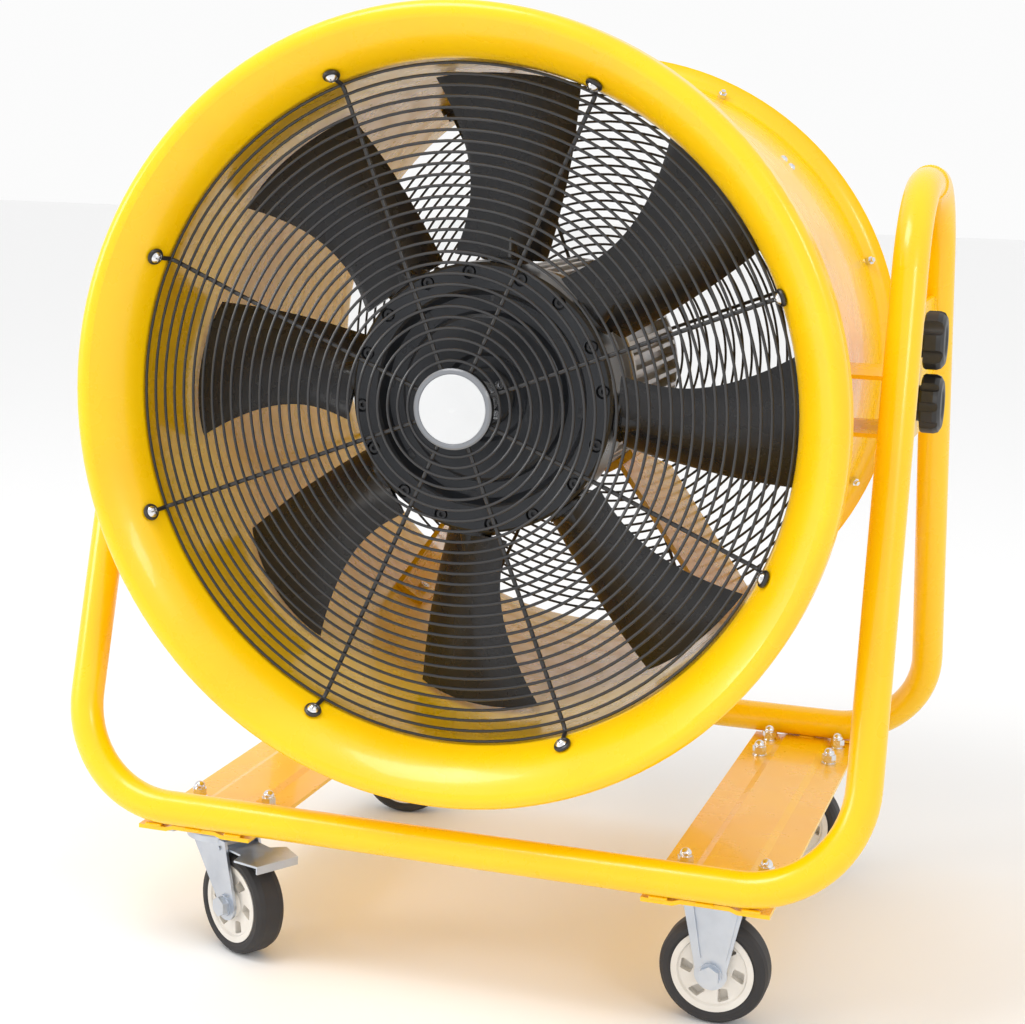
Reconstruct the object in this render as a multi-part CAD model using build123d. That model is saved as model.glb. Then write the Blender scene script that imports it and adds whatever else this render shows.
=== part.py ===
from build123d import *
import os
from math import asin, cos, degrees, hypot, pi, radians, sin, sqrt, tan

# Axial air mover: a drum fan for 24-inch ducts on a tilting tube cart with four casters.
# Millimetres, +Z up, +Y along the air flow (the inlet faces -Y), X along the tilt axis.
# The origin is on the ground, under the tilt axis and midway between the two sides.

# --- Drum: driving dimensions -------------------------------------------------------
AXIS_Z = 550.0             # drum axis and tilt axis above the ground
DUCT_R = 305.0             # inside radius of the barrel
SHEET = 2.0                # drum sheet thickness
BARREL_FRONT = -231.0      # where the barrel meets the inlet bell
BARREL_REAR = 256.0        # where the barrel meets the outlet flare
BELL_FORM_R = 75.0         # large radius of the bell mouth
BELL_TURN = 58.0           # degrees turned by the large radius
BELL_ROLL_R = 10.0         # rolled outer edge of the bell
BELL_LIP = 15.0            # straight lip behind the rolled edge
FLARE_FORM_R = 20.0        # quarter round of the outlet
FLARE_LIP = 1.5            # flat edge outside the quarter round

# --- Guards -------------------------------------------------------------------------
GUARD_EDGE = 1.1           # outermost ring inside the duct's radius
GUARD_PITCH = 9.65
RING_WIRE_R = 1.4
SPOKE_WIRE_R = 2.0
WIRE_SIDES = 8
WELD_SINK = 0.4            # how far a ring melts into a spoke
FRONT_RING_Y = -250.0
REAR_RING_Y = 264.5
SPOKES = 8
SPOKE_PHASE = 21.6         # degrees of the first spoke above +X
FRONT_SCREW_TURN = 28.0    # place of the screw on the bell's large radius
REAR_SCREW_TURN = 32.0     # place of the bolt on the flare's quarter round
EYELET_R = 6.0
EYELET_GAP = 0.25           # between an eyelet and the sheet under it
BADGE_R = 36.5
BADGE_FACE_R = 31.5
GUARD_SCREW_R = 2.5
GROMMET_R = 3.8
GROMMET_HEIGHT = 4.6
FRONT_NUT_GAP = 0.15       # between a nut and the bell sheet in front of it
REAR_NUT_GAP = 0.8         # the same on the tighter curve of the flare
FRONT_KNEE = 5.0           # from an eyelet's landing to the knee of its spoke
REAR_KNEE = 5.0
SEAT_GAP = 0.15            # between the grommet, its seat and the screw head

# --- Fan ----------------------------------------------------------------------------
BLADES = 8
FAN_PHASE = 39.5           # degrees of the first blade shank above +X
TIP_GAP = 7.0              # between a blade tip and the barrel
HUB_FRONT = -174.0
HUB_R = 126.0
HUB_HALF = 28.0            # axial thickness of one hub half
HUB_RIM_IN = 100.0         # inner edge of the raised rim
HUB_TRENCH_IN = 78.0       # inner edge of the trench behind the rim
HUB_TRENCH_DEPTH = 15.0
HUB_DISH_R = 42.0
HUB_DISH_DEPTH = 13.0
HUB_WELL_DEPTH = 19.0
HUB_BOSS_R = 27.0
HUB_BOSS_RISE = 6.0        # boss face above the well floor
HUB_WEB = 10.0             # hollow of the rear half
HUB_SCREW_R = 117.4
HUB_SCREW_SHANK_R = 3.0
HUB_SCREW_HEAD_R = 4.6
HUB_SCREW_HEAD = 5.5
HUB_COUNTERBORE_R = 6.6
HUB_COUNTERBORE = 6.5
BOSS_SCREWS = 4
BOSS_SCREW_R = 20.0
BOSS_SHANK_R = 2.5
SHAFT_BOLT_R = 5.0
SHAFT_BOLT_LENGTH = 22.0
HUB_SCREW_HALF_ANGLE = 12.2  # the two screws of a blade clamp, either side of its shank
SHANK_R = 14.0
SHANK_INNER = 90.0
# Blade sections, from root to tip: distance from the axis, then tangential place and depth
# behind the hub's front face of the leading and the trailing edge, camber and thickness.
BLADE_SECTIONS = (
    (129.0, 41.5, 3.0, -32.0, 55.0, 9.0, 9.0),
    (160.0, 37.0, 11.0, -36.5, 57.0, 10.0, 7.5),
    (196.0, 39.5, 18.0, -40.5, 58.0, 11.0, 6.5),
    (230.0, 51.0, 22.0, -43.0, 58.5, 12.0, 5.5),
    (262.0, 69.0, 23.5, -43.5, 58.5, 13.0, 5.0),
    (303.0, 102.0, 24.5, -43.0, 58.5, 14.0, 4.5),
)
SHAFT_R = 12.0

# --- Motor --------------------------------------------------------------------------
MOTOR_FRONT = -45.0
MOTOR_COVER = 20.0
MOTOR_HOUSING = 172.0      # length of the finned housing between the covers
MOTOR_BODY_R = 99.0
MOTOR_FIN_R = 112.0
MOTOR_FINS = 48
MOTOR_FIN_WIDTH = 5.0
MOTOR_WALL = 6.0
ROTOR_R = 62.0
AIR_GAP = 0.6
LEG_ANGLE = 54.7           # degrees below the horizontal
LEG_THICK = 5.0
LEG_FRONT = 92.0
LEG_REAR = 248.0
LEG_FOOT = 34.0            # tangential width of the leg's foot on the barrel
LEG_BOLT_R = 3.0
LEG_BOLT_INSET = 30.0      # foot bolts from the leg's ends
BARREL_SCREW_ANGLES = (44.2, 46.3)
BARREL_SCREW_Y = 161.0
BARREL_SCREW_R = 2.5
LEAD_R = 3.7
LEAD_ANGLE = 118.8         # where the motor lead passes the barrel
LEAD_Y = 150.0
MOTOR_GLAND_ANGLE = 115.0
MOTOR_GLAND_Y = 105.0
GLAND_SHANK_R = 8.0
GLAND_NUT_R = 11.0
MOTOR_GLAND_R = 9.9
BEND_SHARE = 0.45          # share of the shorter run that a bend of the lead takes

# --- Switch box ---------------------------------------------------------------------
BOX_LENGTH = 112.0
BOX_WIDTH = 76.0
BOX_TOP_R = 345.0
BOX_WALL = 2.5
ROCKER_LENGTH = 24.0
ROCKER_WIDTH = 12.0
ROCKER_PIN_R = 1.5
ROCKER_PIN_DEPTH = 5.0     # rocker pin below the box top
INLET_GLAND_DROP = 18.0    # axis of the mains gland below the box top

# --- Frame --------------------------------------------------------------------------
FRAME_WIDTH = 751.3        # between the centre lines of the side tubes
TUBE_R = 16.0
TUBE_WALL = 2.0
TOP_TUBE_Z = 755.0
FRONT_TUBE_Y = -260.0
REAR_TUBE_Y = 280.0
LEG_LEAN = 15.7            # degrees that the side tubes lean inwards
BASE_BEND_R = 100.0
TOP_BEND_R = 100.0

# --- Cross plates -------------------------------------------------------------------
PLATE_X = 247.0            # centre of a cross plate from the middle
PLATE_WIDTH = 115.0
PLATE_THICK = 4.0
PLATE_TUBE_GAP = 3.0       # between the tube and the plate's side strips
PLATE_RAISE = 2.4          # stamped centre strip
CREASE_INNER = 22.0
CREASE_OUTER = 29.0
PLATE_OVERHANG = 3.0       # beyond the tube centre lines

# --- Casters ------------------------------------------------------------------------
WHEEL_R = 50.0
TYRE_WIDTH = 32.0
TYRE_THICK = 12.0          # radial
FORK_GAP = 2.0             # between a tyre and a fork cheek
FORK_THICK = 3.0
CASTER_PLATE_X = 100.0
CASTER_PLATE_Y = 84.0
CASTER_PLATE_THICK = 4.0
CASTER_HEAD = 21.0         # from the top of the wheel to the caster plate
CASTER_BOLT_X = 75.0
CASTER_BOLT_Y = 60.0
CASTER_BOLT_R = 4.0
CASTER_FRONT_Y = -201.0
CASTER_REAR_Y = 224.0
AXLE_R = 6.0
TRAIL = 38.0
SWIVEL_GAP = 4.6           # between the caster plate and the fork crown
CROWN_THICK = 8.0
KINGPIN_R = 8.0
RIM_POCKETS = 6
PEDAL_GAP = 3.2            # pedal plate above the wheel
PEDAL_THICK = 2.0
PEDAL_PIN = 28.0           # pedal pin from the kingpin, towards the wheel
PEDAL_PIN_R = 2.0
PEDAL_TIP = 94.0
PEDAL_SIDE_GAP = 0.8       # between the pedal neck and a fork cheek
SHOE_GAP = 3.4             # between the brake shoe and the tyre
SWIVEL_REST = (-30.0, 12.0)  # degrees of the front and the rear swivel fork at rest
RACE_R = 33.0

# --- Tilt joint ---------------------------------------------------------------------
SIDE_PLATE_THICK = 4.0
SIDE_PLATE_BELOW = 34.0
SIDE_PLATE_ABOVE = 92.0
CLAMP_GAP = 1.0            # between bracket, side plate and knob
BRACKET_THICK = 4.0
BRACKET_LENGTH = 100.0
BRACKET_HALF_HEIGHT = 29.0
STUD_R = 5.0
LOCK_STUD_R = 60.0         # lock stud from the tilt axis
TILT_DOWN = 10.0           # degrees nose down
TILT_UP = 45.0             # degrees nose up
KNOB_R = 28.0
KNOB_THICK = 24.0

# --- Clearances ---------------------------------------------------------------------
RUNNING = 0.05             # radial, between a turning piece and its pin
PIVOT_RUNNING = 0.1        # radial, tilt stud in the side plate
SLOT_CLEARANCE = 0.5       # radial, lock stud in the arc slot

# --- Derived ------------------------------------------------------------------------
SHELL_R = DUCT_R + SHEET
GUARD_RING_MAX = DUCT_R - GUARD_EDGE
GUARD_RINGS = int((GUARD_RING_MAX - BADGE_R - RING_WIRE_R) / GUARD_PITCH) + 1
RIM_R = WHEEL_R - TYRE_THICK
CASTER_UNDER = 2 * WHEEL_R + CASTER_HEAD
CASTER_TOP = CASTER_UNDER + CASTER_PLATE_THICK
BASE_PLATE_TOP = CASTER_TOP + PLATE_THICK
BASE_TUBE_Z = BASE_PLATE_TOP + PLATE_TUBE_GAP + TUBE_R
TIP_R = DUCT_R - TIP_GAP
SIDE_X = FRAME_WIDTH / 2
LEAN_RISE = tan(radians(LEG_LEAN))
FRONT_TOP_Y = FRONT_TUBE_Y + LEAN_RISE * (TOP_TUBE_Z - BASE_TUBE_Z)
REAR_TOP_Y = REAR_TUBE_Y - LEAN_RISE * (TOP_TUBE_Z - BASE_TUBE_Z)
SPLIT_Y = (FRONT_TOP_Y + REAR_TOP_Y) / 2
SIDE_PLATE_OUT = SIDE_X - 0.65
SIDE_PLATE_IN = SIDE_PLATE_OUT - SIDE_PLATE_THICK
WEB_OUT = SIDE_PLATE_IN - CLAMP_GAP
WEB_IN = WEB_OUT - BRACKET_THICK
KNOB_IN = SIDE_PLATE_OUT + CLAMP_GAP
KNOB_OUT = KNOB_IN + KNOB_THICK
CHEEK_IN = TYRE_WIDTH / 2 + FORK_GAP
CHEEK_OUT = CHEEK_IN + FORK_THICK
SWIVEL_TOP = CASTER_UNDER - SWIVEL_GAP
CROWN_LOW = SWIVEL_TOP - CROWN_THICK
PEDAL_Z = 2 * WHEEL_R + PEDAL_GAP
PEDAL_PIN_Z = PEDAL_Z + PEDAL_THICK / 2
LOOP_BENDS = [TOP_BEND_R, BASE_BEND_R, BASE_BEND_R, TOP_BEND_R]
LEAD_WALL_END = DUCT_R - 14.0
LEAD_MOTOR_END = MOTOR_FIN_R + 14.0
BOSS_FACE = HUB_FRONT + HUB_WELL_DEPTH - HUB_BOSS_RISE
HUB_MIDDLE = HUB_FRONT + HUB_HALF
MOTOR_REAR = MOTOR_FRONT + 2 * MOTOR_COVER + MOTOR_HOUSING
HUB_REAR = HUB_FRONT + 2 * HUB_HALF

os.makedirs("parts", exist_ok=True)


def save(name, shape):
    export_step(shape, f"parts/{name}.step")


# --- Shared shapes ------------------------------------------------------------------
def in_drum(shape):
    """Lift a shape that is built around the drum axis to its place above the ground."""
    return Pos(0, 0, AXIS_Z) * shape


def turned(shape, angle):
    """Turn a shape about the drum axis, from +X towards +Z."""
    return Rot(0, -angle, 0) * shape


def turned_copies(shape, count, phase):
    return [turned(shape, phase + 360 / count * i) for i in range(count)]


def rod(start, end, radius):
    start = Vector(start)
    run = Vector(end) - start
    return Solid.make_cylinder(radius, run.length, Plane(origin=start, z_dir=run))


def ring_y(outer, inner, y0, y1):
    """A ring about the drum axis, from y0 to y1."""
    return rod((0, y0, 0), (0, y1, 0), outer) - rod((0, y0 - 1, 0), (0, y1 + 1, 0), inner)


def hexagon(start, end, across_flats):
    start = Vector(start)
    run = Vector(end) - start
    base = Plane(origin=start, z_dir=run) * RegularPolygon(across_flats / sqrt(3), 6)
    return extrude(base, run.length)


def block(x0, x1, y0, y1, z0, z1):
    return Pos((x0 + x1) / 2, (y0 + y1) / 2, (z0 + z1) / 2) * Box(x1 - x0, y1 - y0, z1 - z0)


def turned_profile(points):
    """Spin an outline of (radius, y) points about the drum axis."""
    return revolve(make_face(Polyline(*points, close=True)), Axis.Y)


def rounded_path(points, radii):
    """A path of straight runs whose inner corners are arcs of the given radii."""
    points = [Vector(p) for p in points]
    edges = []
    last = points[0]
    for before, corner, after, radius in zip(points, points[1:], points[2:], radii):
        back = (before - corner).normalized()
        ahead = (after - corner).normalized()
        half = radians(back.get_angle(ahead)) / 2
        reach = radius / tan(half)
        start = corner + back * reach
        end = corner + ahead * reach
        middle = corner + (back + ahead).normalized() * (radius / sin(half) - radius)
        edges.append(Edge.make_line(last, start))
        edges.append(Edge.make_three_point_arc(start, middle, end))
        last = end
    edges.append(Edge.make_line(last, points[-1]))
    return Wire(edges)


def pipe(points, radii, radius):
    path = rounded_path(points, radii)
    section = Plane(origin=path @ 0, z_dir=path % 0) * Circle(radius)
    return sweep(section, path=path)


# --- Drum shell ---------------------------------------------------------------------
def arc_points_face(centre_a, radius_a, start_a, turn_a, centre_b, radius_b, turn_b, lip):
    """Sheet outline along two tangent arcs and a straight lip, SHEET thick towards the centres."""
    outer_a = CenterArc(centre_a, radius_a, start_a, turn_a)
    outer_b = CenterArc(centre_b, radius_b, start_a + turn_a, turn_b)
    inner_a = CenterArc(centre_a, radius_a - SHEET, start_a, turn_a)
    inner_b = CenterArc(centre_b, radius_b - SHEET, start_a + turn_a, turn_b)
    lip_end = outer_b @ 1 + lip
    lip_back = inner_b @ 1 + lip
    edges = [
        outer_a,
        outer_b,
        Line(outer_b @ 1, lip_end),
        Line(lip_end, lip_back),
        Line(lip_back, inner_b @ 1),
        inner_b,
        inner_a,
        Line(inner_a @ 0, outer_a @ 0),
    ]
    return make_face(edges)


def bell_point(turn, height=0.0):
    """Radius and y of a point above the bell's large radius."""
    reach = BELL_FORM_R + height
    return (DUCT_R + BELL_FORM_R - reach * cos(radians(turn)),
            BARREL_FRONT - reach * sin(radians(turn)))


def flare_point(turn, height=0.0):
    """Radius and y of a point above the flare's quarter round."""
    reach = FLARE_FORM_R + height
    return (DUCT_R + FLARE_FORM_R - reach * cos(radians(turn)),
            BARREL_REAR + reach * sin(radians(turn)))


def guard_hole_rods(point, turn, radius):
    """Cutting rods through the sheet where the guard screws pass."""
    r0, y0 = point(turn, 6)
    r1, y1 = point(turn, -6)
    return turned_copies(rod((r0, y0, 0), (r1, y1, 0), radius), SPOKES, SPOKE_PHASE)


def make_inlet_bell():
    centre_a = (DUCT_R + BELL_FORM_R, BARREL_FRONT)
    reach = BELL_FORM_R - BELL_ROLL_R
    turn = radians(BELL_TURN)
    centre_b = (centre_a[0] - reach * cos(turn), centre_a[1] - reach * sin(turn))
    outline = arc_points_face(centre_a, BELL_FORM_R, 180, BELL_TURN,
                              centre_b, BELL_ROLL_R, 180 - BELL_TURN, Vector(0, BELL_LIP))
    bell = revolve(outline, Axis.Y)
    return bell - guard_hole_rods(bell_point, FRONT_SCREW_TURN, GUARD_SCREW_R)


def make_outlet_flare():
    centre = (DUCT_R + FLARE_FORM_R, BARREL_REAR)
    outer = CenterArc(centre, FLARE_FORM_R, 180, -90)
    inner = CenterArc(centre, FLARE_FORM_R - SHEET, 180, -90)
    lip = Vector(FLARE_LIP, 0)
    edges = [
        outer,
        Line(outer @ 1, outer @ 1 + lip),
        Line(outer @ 1 + lip, inner @ 1 + lip),
        Line(inner @ 1 + lip, inner @ 1),
        inner,
        Line(inner @ 0, outer @ 0),
    ]
    flare = revolve(make_face(edges), Axis.Y)
    return flare - guard_hole_rods(flare_point, REAR_SCREW_TURN, GUARD_SCREW_R)


def radial_rod(angle, y, inner, outer, radius):
    return turned(rod((inner, y, 0), (outer, y, 0), radius), angle)


def leg_bolt_places():
    """Angle and y of the foot bolts of both motor legs."""
    side = degrees(asin(LEG_FOOT * 0.6 / DUCT_R))
    right = -LEG_ANGLE - side
    left = 180 + LEG_ANGLE + side
    return [(angle, y) for angle in (right, left)
            for y in (LEG_FRONT + LEG_BOLT_INSET, LEG_REAR - LEG_BOLT_INSET)]


def make_barrel():
    barrel = ring_y(SHELL_R, DUCT_R, BARREL_FRONT, BARREL_REAR)
    barrel -= [radial_rod(a, BARREL_SCREW_Y, DUCT_R - 5, SHELL_R + 5, BARREL_SCREW_R)
               for a in BARREL_SCREW_ANGLES]
    barrel -= [radial_rod(a, y, DUCT_R - 5, SHELL_R + 5, LEG_BOLT_R) for a, y in leg_bolt_places()]
    barrel -= radial_rod(LEAD_ANGLE, LEAD_Y, DUCT_R - 8, SHELL_R + 5, GLAND_SHANK_R)
    return barrel


def pan_screw(head_base, outward, shank_length, shank_radius, head_radius, head_height):
    """A domed head on a shank; the shank runs from the head base against outward."""
    outward = Vector(outward).normalized()
    base = Vector(head_base)
    shank = rod(base - outward * shank_length, base, shank_radius)
    dome_r = (head_radius ** 2 + head_height ** 2) / (2 * head_height)
    centre = Plane(origin=base - outward * (dome_r - head_height), z_dir=outward)
    head = Solid.make_sphere(dome_r, centre, degrees(asin((dome_r - head_height) / dome_r)), 90)
    cross_plane = Plane(origin=base + outward * (head_height - 1.2), z_dir=outward)
    slot = extrude(cross_plane * Rectangle(head_radius * 1.1, 1.1), 3)
    cross = extrude(cross_plane * Rectangle(1.1, head_radius * 1.1), 3)
    return shank + head - slot - cross


def make_barrel_bolts():
    """Screws and bolts on the outside of the barrel, and the nuts of the rear guard."""
    pieces = []
    for angle in BARREL_SCREW_ANGLES:
        screw = pan_screw((SHELL_R, BARREL_SCREW_Y, 0), (1, 0, 0), SHEET + 3, BARREL_SCREW_R, 4.5, 3)
        pieces.append(turned(screw, angle))
    for angle, y in leg_bolt_places():
        bolt = rod((DUCT_R - LEG_THICK - 6, y, 0), (SHELL_R, y, 0), LEG_BOLT_R)
        bolt += hexagon((SHELL_R + 0.2, y, 0), (SHELL_R + 4.5, y, 0), 10)
        bolt += rod((SHELL_R, y, 0), (SHELL_R + 0.4, y, 0), LEG_BOLT_R)
        bolt += hexagon((DUCT_R - LEG_THICK - 5.5, y, 0), (DUCT_R - LEG_THICK - 0.5, y, 0), 10)
        pieces.append(turned(bolt, angle))
    return pieces


# --- Guards -------------------------------------------------------------------------
def wire_ring(radius, wire_radius):
    """Closed ring about Z of drawn wire, eight-sided to keep the guards light."""
    section = Plane.XZ * Pos(radius, 0) * RegularPolygon(wire_radius, WIRE_SIDES)
    return revolve(section, Axis.Z)


def make_guard(ring_y_place, facing, point, turn, first_ring, knee_reach):
    """Concentric rings welded on the outside of eight spokes that end in eyelets."""
    spoke_y = ring_y_place - facing * (RING_WIRE_R + SPOKE_WIRE_R - WELD_SINK)
    eye_r, eye_y = point(turn, SPOKE_WIRE_R + EYELET_GAP)
    base_r, base_y = point(turn, 0)
    outward = Vector(eye_r - base_r, eye_y - base_y, 0).normalized()
    along = Vector(-outward.Y, outward.X, 0)
    if along.Y * facing > 0:
        along = along * -1
    eye = Vector(eye_r, eye_y, 0)
    landing = eye + along * EYELET_R
    knee = Vector(landing.X - knee_reach, spoke_y, 0)
    inner_end = Vector(BADGE_FACE_R, spoke_y, 0)
    spoke = pipe([inner_end, knee, landing], [8.0], SPOKE_WIRE_R)
    spoke += Plane(origin=eye, z_dir=outward) * wire_ring(EYELET_R, SPOKE_WIRE_R)
    ring_plane = Plane(origin=(0, ring_y_place, 0), z_dir=(0, 1, 0))
    rings = [ring_plane * wire_ring(GUARD_RING_MAX - GUARD_PITCH * i, RING_WIRE_R)
             for i in range(first_ring, GUARD_RINGS)]
    hub_y = sorted((spoke_y, spoke_y - facing * SPOKE_WIRE_R))
    hub = ring_y(BADGE_R, 8.0, *hub_y)
    spokes = turned_copies(spoke, SPOKES, SPOKE_PHASE)
    return hub + spokes + rings


def make_badge(ring_y_place, facing):
    """Plain round plate over the middle of a guard: a dished rim with a raised face."""
    seat = ring_y_place + facing * RING_WIRE_R
    outline = [
        (0, seat),
        (BADGE_R, seat),
        (BADGE_R, seat + facing * 2.0),
        (BADGE_R - 1.5, seat + facing * 3.2),
        (BADGE_FACE_R + 0.8, seat + facing * 3.2),
        (BADGE_FACE_R, seat + facing * 2.4),
        (BADGE_FACE_R - 0.8, seat + facing * 3.0),
        (0, seat + facing * 3.6),
    ]
    return turned_profile(outline)


def sheet_normal(point, turn):
    base_r, base_y = point(turn, 0)
    in_r, in_y = point(turn, 1)
    return Vector(base_r, base_y, 0), Vector(in_r - base_r, in_y - base_y, 0)


def make_grommets(point, turn):
    base, normal = sheet_normal(point, turn)
    base = base + normal * SEAT_GAP
    one = rod(base, base + normal * GROMMET_HEIGHT, GROMMET_R)
    one -= rod(base - normal, base + normal * (GROMMET_HEIGHT + 1), GUARD_SCREW_R)
    return turned_copies(one, SPOKES, SPOKE_PHASE)


def make_guard_screws(point, turn, nut_gap):
    base, normal = sheet_normal(point, turn)
    head = base + normal * (GROMMET_HEIGHT + SEAT_GAP)
    nut_top = base - normal * (SHEET + nut_gap)
    screw = pan_screw(head, normal, GROMMET_HEIGHT + SHEET + 9, GUARD_SCREW_R, 5.4, 3.4)
    screw += hexagon(nut_top - normal * 4.5, nut_top, 8)
    return turned_copies(screw, SPOKES, SPOKE_PHASE)


# --- Fan ----------------------------------------------------------------------------
def blade_section(reach, lead_s, lead_u, trail_s, trail_u, camber, thickness):
    """Closed outline across the blade: convex towards the inlet, thickest near the lead."""
    lead = Vector(reach, HUB_FRONT + lead_u, lead_s)
    trail = Vector(reach, HUB_FRONT + trail_u, trail_s)
    chord = trail - lead
    bulge = Vector(0, -chord.Z, chord.Y).normalized()
    if bulge.Y > 0:
        bulge = bulge * -1
    front = []
    back = []
    for share in (0.04, 0.15, 0.32, 0.5, 0.68, 0.85, 0.96):
        middle = lead + chord * share + bulge * (4 * camber * share * (1 - share))
        half = thickness * sqrt(share * (1 - share)) * (1 - 0.4 * share)
        front.append(middle + bulge * half)
        back.append(middle - bulge * half)
    return Wire([Edge.make_spline([lead] + front + [trail]),
                 Edge.make_spline([trail] + back[::-1] + [lead])])


def make_blade():
    sections = [blade_section(*row) for row in BLADE_SECTIONS]
    blade = Solid.make_loft(sections)
    blade = blade & rod((0, HUB_FRONT - 40, 0), (0, HUB_REAR + 40, 0), TIP_R)
    blade += rod((SHANK_INNER, HUB_MIDDLE, 0), (HUB_R + 6, HUB_MIDDLE, 0), SHANK_R)
    blade += rod((HUB_R + 1, HUB_MIDDLE, 0), (HUB_R + 4.5, HUB_MIDDLE, 0), SHANK_R + 9)
    taper = Solid.make_cone(SHANK_R, 2.0, 44, Plane(origin=(HUB_R + 3, HUB_MIDDLE, 0), z_dir=(1, 0, 0)))
    return blade + taper


def make_blades():
    return turned_copies(make_blade(), BLADES, FAN_PHASE)


def hub_screw_angles():
    step = 360 / BLADES
    return [FAN_PHASE + step * i + side * HUB_SCREW_HALF_ANGLE
            for i in range(BLADES) for side in (-1, 1)]


def hub_screw_rod(angle, y0, y1, radius):
    return turned(rod((HUB_SCREW_R, y0, 0), (HUB_SCREW_R, y1, 0), radius), angle)


def make_hub_front():
    f = HUB_FRONT
    outline = [
        (SHAFT_R, BOSS_FACE),
        (HUB_BOSS_R - 2, BOSS_FACE),
        (HUB_BOSS_R, BOSS_FACE + 2),
        (HUB_BOSS_R + 1, f + HUB_WELL_DEPTH),
        (HUB_DISH_R - 4, f + HUB_WELL_DEPTH),
        (HUB_DISH_R, f + HUB_DISH_DEPTH),
        (HUB_TRENCH_IN - 10, f + 6.5),
        (HUB_TRENCH_IN - 3, f + 5.0),
        (HUB_TRENCH_IN, f + 7.0),
        (HUB_TRENCH_IN + 2.5, f + HUB_TRENCH_DEPTH),
        (HUB_RIM_IN - 5, f + HUB_TRENCH_DEPTH),
        (HUB_RIM_IN, f + 2.0),
        (HUB_RIM_IN + 2, f),
        (HUB_R - 2.5, f),
        (HUB_R, f + 2.5),
        (HUB_R, HUB_MIDDLE),
        (SHAFT_R, HUB_MIDDLE),
    ]
    half = turned_profile(outline)
    half -= [hub_screw_rod(a, f - 1, f + HUB_COUNTERBORE, HUB_COUNTERBORE_R) for a in hub_screw_angles()]
    half -= [hub_screw_rod(a, f, HUB_MIDDLE + 1, HUB_SCREW_SHANK_R) for a in hub_screw_angles()]
    half -= [turned(boss_rod(f, HUB_MIDDLE + 1, BOSS_SHANK_R), a) for a in boss_screw_angles()]
    return half - shank_pockets()


def boss_screw_angles():
    return [FAN_PHASE + 360 / BOSS_SCREWS * i for i in range(BOSS_SCREWS)]


def boss_rod(y0, y1, radius):
    return rod((BOSS_SCREW_R, y0, 0), (BOSS_SCREW_R, y1, 0), radius)


def shank_pockets():
    one = rod((SHANK_INNER, HUB_MIDDLE, 0), (HUB_R + 5, HUB_MIDDLE, 0), SHANK_R)
    return turned_copies(one, BLADES, FAN_PHASE)


def make_hub_rear():
    outline = [
        (SHAFT_R, HUB_MIDDLE),
        (HUB_R, HUB_MIDDLE),
        (HUB_R, HUB_REAR - 2.5),
        (HUB_R - 2.5, HUB_REAR),
        (HUB_RIM_IN, HUB_REAR),
        (HUB_RIM_IN - 6, HUB_REAR - HUB_WEB),
        (SHAFT_R + 24, HUB_REAR - HUB_WEB),
        (SHAFT_R + 20, HUB_REAR + 12),
        (SHAFT_R, HUB_REAR + 12),
    ]
    half = turned_profile(outline)
    half -= [hub_screw_rod(a, HUB_MIDDLE - 1, HUB_REAR + 1, HUB_SCREW_SHANK_R) for a in hub_screw_angles()]
    half -= [turned(boss_rod(HUB_MIDDLE - 1, HUB_MIDDLE + 8, BOSS_SHANK_R), a) for a in boss_screw_angles()]
    return half - shank_pockets()


def make_hub_screws():
    """Socket screws of the blade clamps, boss screws and the shaft bolt with its washer."""
    seat = HUB_FRONT + HUB_COUNTERBORE
    one = rod((HUB_SCREW_R, seat, 0), (HUB_SCREW_R, HUB_REAR - 0.5, 0), HUB_SCREW_SHANK_R)
    one += rod((HUB_SCREW_R, seat - HUB_SCREW_HEAD, 0), (HUB_SCREW_R, seat, 0), HUB_SCREW_HEAD_R)
    one -= hexagon((HUB_SCREW_R, seat - 7, 0), (HUB_SCREW_R, seat - 2.5, 0), 4.2)
    pieces = [turned(one, a) for a in hub_screw_angles()]
    small = boss_rod(BOSS_FACE, HUB_MIDDLE + 8, BOSS_SHANK_R)
    small += boss_rod(BOSS_FACE - 4, BOSS_FACE, 4.2)
    small -= hexagon((BOSS_SCREW_R, BOSS_FACE - 5, 0), (BOSS_SCREW_R, BOSS_FACE - 2, 0), 4.0)
    pieces += [turned(small, a) for a in boss_screw_angles()]
    washer_front = BOSS_FACE - 2.5
    washer = ring_y(15.0, SHAFT_BOLT_R, washer_front, BOSS_FACE)
    bolt = rod((0, washer_front, 0), (0, BOSS_FACE + SHAFT_BOLT_LENGTH, 0), SHAFT_BOLT_R)
    bolt += hexagon((0, washer_front - 6.5, 0), (0, washer_front, 0), 16)
    pieces.append(washer + bolt)
    return pieces


def make_fan_shaft():
    """Motor shaft with the rotor pressed on it."""
    shaft = rod((0, BOSS_FACE, 0), (0, MOTOR_REAR - 8, 0), SHAFT_R)
    shaft -= rod((0, BOSS_FACE - 1, 0), (0, BOSS_FACE + SHAFT_BOLT_LENGTH, 0), SHAFT_BOLT_R)
    shaft += rod((0, MOTOR_FRONT + 50, 0), (0, MOTOR_REAR - 50, 0), ROTOR_R)
    return shaft


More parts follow.
